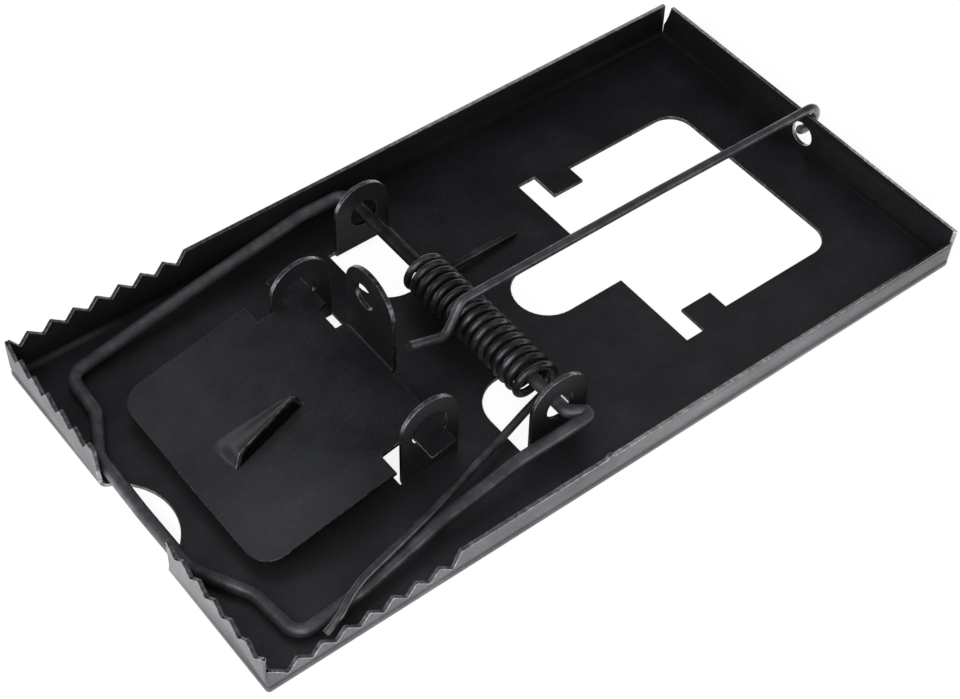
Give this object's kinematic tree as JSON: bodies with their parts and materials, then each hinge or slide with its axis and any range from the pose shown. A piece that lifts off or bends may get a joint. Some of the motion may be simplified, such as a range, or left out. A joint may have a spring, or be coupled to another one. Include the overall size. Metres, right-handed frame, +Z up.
{
  "type": "mouse trap",
  "caption": "All-metal snap trap: pressed sheet tray with a toothed, notched front, wire bail on a torsion spring, tilting bait treadle and hooked locking rod.",
  "frame": {"origin": "middle of the tray's underside", "axes": "+X from the toothed front to the rear wall, +Y to the far long wall, +Z up"},
  "size_m": [0.1019, 0.0532, 0.0196],
  "materials": {
    "dark_sheet": "dark oiled sheet steel, slightly blotched",
    "treadle_sheet": "dark oiled sheet steel",
    "wire": "drawn wire, dull grey",
    "spring_wire": "hard-drawn spring wire, dull grey"
  },
  "bodies": {
    "base": {"base_tray": "dark_sheet", "spring_coil": "spring_wire"},
    "bail": {"bail": "wire", "spring_arm": "spring_wire"},
    "treadle": {"treadle": "treadle_sheet"},
    "locking_rod": {"locking_rod": "wire"}
  },
  "joints": [
    {"name": "bail_hinge", "type": "hinge", "parent": "base", "child": "bail", "pos_m": [-0.0045, 0, 0.00465], "axis": [0, 1, 0], "range_deg": [0, 175], "stiffness_Nm_per_rad": 0.02, "springref_deg": -45.84},
    {"name": "treadle_hinge", "type": "hinge", "parent": "base", "child": "treadle", "pos_m": [-0.0195, -0.0005, 0.0072], "axis": [0, 1, 0], "range_deg": [-3, 12]},
    {"name": "locking_rod_hinge", "type": "hinge", "parent": "base", "child": "locking_rod", "pos_m": [0.04972, -0.0008, 0.0054], "axis": [0, 1, 0], "range_deg": [0, 180]}
  ]
}
